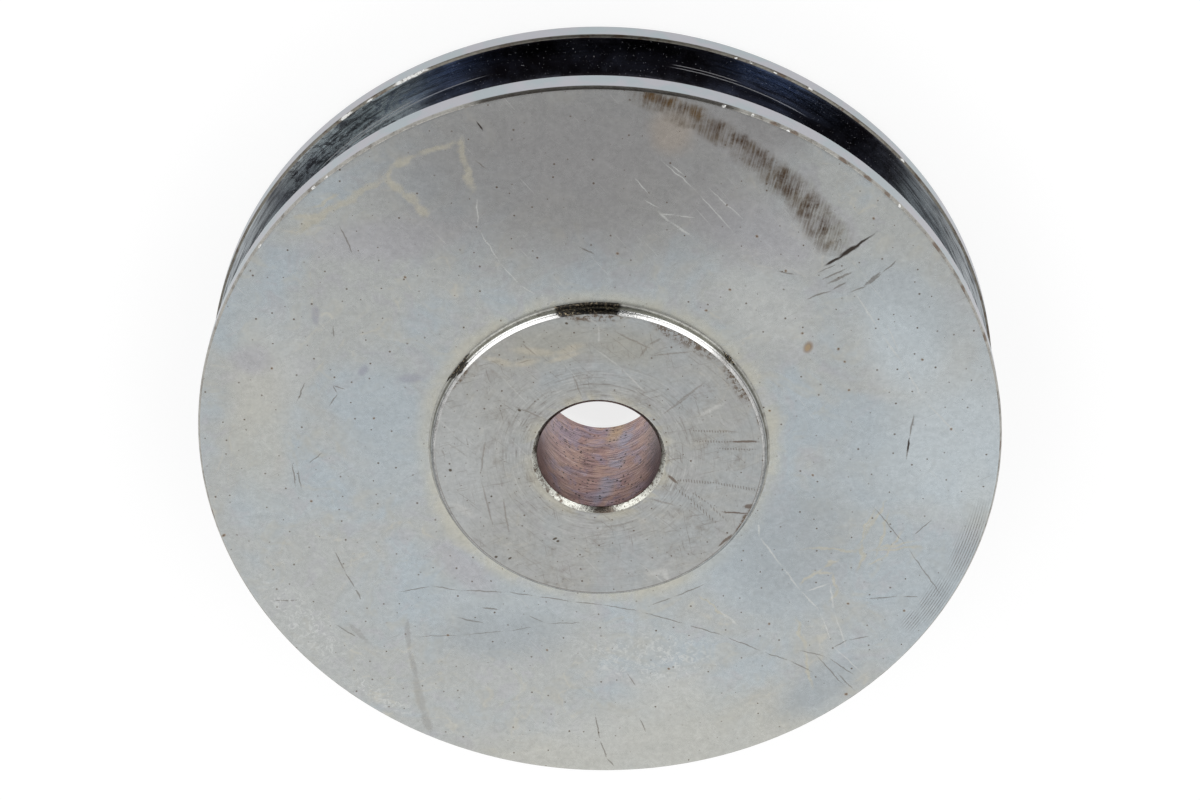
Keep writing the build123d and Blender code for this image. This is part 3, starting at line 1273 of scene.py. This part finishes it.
# %% [markdown]
# Each ring of faces now gets the finish of its surface, told from its radius,
# its height and the way it faces. The three small allowances are in millimetres
# and take in the worn corners beside a break. The last three numbers say how far
# up or down a face points: 1 is flat, and 0 is upright.

# %% Give each surface its finish
hair = 0.02
corner_in = 0.08
mouth_in = 0.5
flat_up = 0.98
steep_up = 0.3
land_up = 0.1


def surface(face):
    """The name of the finish for one face of the wheel."""
    x, y, z = face.center / MM
    r, height = hypot(x, y), abs(z)
    up = abs(face.normal.z)
    if r < bore_radius + corner_in and up < steep_up:
        return "bore_metal"
    in_lead = height > half_hub - bore_break - corner_in
    if r < bore_radius + bore_break + corner_in and in_lead and up < flat_up:
        return "bore_edge"
    if height > half_hub - hair:
        return "hub_zinc" if z > 0 else "back_zinc"
    if r < hub_radius + hub_root and height > half_rim:
        return "hub_edge" if r < hub_radius - hair else "hub_root"
    if height > half_rim - hair and up > flat_up:
        sector = sector_at(degrees(atan2(-y, -x)))
        return f"face_zinc_{sector}" if z > 0 else "back_zinc"
    at_corner = height > half_rim - rim_break - corner_in
    if r > rim_radius - rim_break_in - corner_in and at_corner:
        return "rim_edge"
    if r > rim_radius - hair and up < land_up:
        return "land_zinc"
    return "mouth_edge" if r > rim_radius - mouth_in and up < flat_up else "groove_metal"


slots = {name: n for n, name in enumerate(finishes)}
for material in finishes.values():
    wheel.materials.append(material)
count = dict.fromkeys(slots, 0)
for face in wheel.polygons:
    name = surface(face)
    face.material_index = slots[name]
    count[name] += 1
print(count)

# %% [markdown]
# ## The studio
# The wheel lies on white paper. A shiny surface sees the paper glow at almost
# full white. What the camera sees is 0.7 glow and 0.3 light of the room, so the
# wheel keeps a soft shadow. Open paper reaches about 0.7 in that light, and the
# glow is raised for the camera to make up the loss: the sum is just white.

# %% Floor
floor_size = 6
camera_glow = 0.7
mirror_glow = 0.985
camera_boost = 0.12
bpy.ops.mesh.primitive_plane_add(size=floor_size, location=(0, 0, low.z))
floor = bpy.context.object
floor.name = "floor"
paper = bpy.data.materials.new("white_paper")
paper.use_nodes = True
floor.data.materials.append(paper)
paper_tree = paper.node_tree
matte = paper_tree.nodes["Principled BSDF"]
fill(paper_tree, matte, {"Base Color": (0.9, 0.9, 0.9, 1), "Roughness": 0.9})
ray = place_node(paper_tree, "LightPath").outputs
for_camera = work_out(paper_tree, "MULTIPLY", ray["Is Camera Ray"], camera_glow)
for_mirrors = work_out(paper_tree, "MULTIPLY", ray["Is Glossy Ray"], mirror_glow)
share = work_out(paper_tree, "MAXIMUM", for_camera, for_mirrors)
glow_level = work_out(paper_tree, "MULTIPLY_ADD", ray["Is Camera Ray"], camera_boost, 1.0)
glow = place_node(paper_tree, "Emission", {"Strength": glow_level})
mixed = place_node(paper_tree, "MixShader", {0: share, 1: matte.outputs[0], 2: glow.outputs[0]})
fill(paper_tree, paper_tree.nodes["Material Output"], {"Surface": mixed.outputs[0]})
print("floor at", round(low.z / MM, 2), "mm,", len(paper_tree.nodes), "nodes")

# %% [markdown]
# A polished wheel is a mirror of its room, so the room matters as much as the
# lamps. Its walls are light all round, the ceiling is dimmer round a skylight,
# and the horizon is dim too. One dark gap, with a low and a tall part, lies on
# the camera's side, where a person would stand. It darkens the near edge of the
# hub and the rim. The camera itself sees plain white.

# %% The room
world = bpy.data.worlds.new("studio")
bpy.context.scene.world = world
world.use_nodes = True
room = world.node_tree


def fade(value, start, end, first, last):
    """Fades from one brightness to another, smoothly."""
    wires = {0: value, 1: start, 2: end, 3: first, 4: last}
    return place_node(room, "MapRange", wires, interpolation_type="SMOOTHSTEP").outputs[0]


towards = place_node(room, "TexCoord").outputs["Generated"]
flat = place_node(room, "VectorMath", {0: towards, 1: (1, 1, 0)}, operation="MULTIPLY")
heading = place_node(room, "VectorMath", {0: flat.outputs[0]}, operation="NORMALIZE")
facing = place_node(room, "SeparateXYZ", {0: heading.outputs[0]}).outputs[1]
rise = place_node(room, "SeparateXYZ", {0: towards}).outputs[2]
ceiling = fade(rise, 0.86, 0.9, 1, 0.52)
skylight = fade(rise, 0.95, 0.985, 0, 0.95)
overhead = work_out(room, "MAXIMUM", ceiling, skylight)
horizon = fade(rise, 0.02, 0.25, 0.35, 1)


def gap(narrow, wide, bottom, top):
    """A dark gap on the camera's side, up to a height."""
    beside = fade(facing, narrow, wide, 0.03, 1)
    above = fade(rise, bottom, top, 0, 1)
    return work_out(room, "MAXIMUM", beside, above)


tall_gap = gap(-0.96, -0.87, 0.6, 0.75)
low_gap = gap(-0.84, -0.7, 0.12, 0.25)
walls = work_out(room, "MULTIPLY", overhead, horizon)
gaps = work_out(room, "MULTIPLY", tall_gap, low_gap)
mirrored = work_out(room, "MULTIPLY", walls, gaps)
seen = place_node(room, "LightPath").outputs["Is Camera Ray"]
brightness = place_node(room, "Mix", {0: seen, 2: mirrored, 3: 1.0}).outputs[0]
fill(room, room.nodes["Background"], {"Color": (1, 1, 1, 1), "Strength": brightness})
print("room:", len(room.nodes), "nodes")

# %% [markdown]
# Two soft boxes stand left and right of the camera, alike but for their side. They light the
# wheel and brighten the arcs on the hub's broken edge, which also carry painted highlights.

# %% Lamps
box_width, box_height = 0.75, 0.5
box_distance = 1.0
box_elevation = radians(28)
box_radiance = 1.05


def softbox(name, azimuth):
    """An area lamp that faces the sheave. Azimuth 0 is the camera's side."""
    out = cos(box_elevation)
    back = Vector((sin(azimuth) * out, -cos(azimuth) * out, sin(box_elevation)))
    lamp = bpy.data.lights.new(name, "AREA")
    lamp.shape = "RECTANGLE"
    lamp.size, lamp.size_y = box_width, box_height
    lamp.energy = box_radiance * pi * box_width * box_height
    holder = bpy.data.objects.new(name, lamp)
    holder.location = back * box_distance
    holder.rotation_mode = "QUATERNION"
    holder.rotation_quaternion = back.to_track_quat("Z", "Y")
    bpy.context.scene.collection.objects.link(holder)
    print(name, round(lamp.energy, 2), "W,", round(holder.location.z, 2), "m up")


softbox("left_box", radians(45))
softbox("right_box", radians(-45))

# %% [markdown]
# The camera looks down on the wheel with a long lens. It is turned upside
# down, so the near rim and its groove come out at the top of the view.

# %% Camera
camera_place = Vector((-0.01783, -0.35564, 0.58531))
aim = Vector((-0.00038, -0.01182, 0.0136))
roll = radians(-177.73)
camera = bpy.data.objects.new("camera", bpy.data.cameras.new("camera"))
bpy.context.scene.collection.objects.link(camera)
camera.data.lens = 98.2
camera.data.sensor_width = 36
camera.data.clip_start, camera.data.clip_end = 0.01, 20
camera.location = camera_place
look = (aim - camera_place).to_track_quat("-Z", "Y")
camera.rotation_mode = "QUATERNION"
camera.rotation_quaternion = look @ Quaternion((0, 0, 1), roll)
bpy.context.scene.camera = camera
bpy.context.scene.view_settings.view_transform = "Standard"
print("camera", round((aim - camera_place).length / MM), "mm from the wheel")
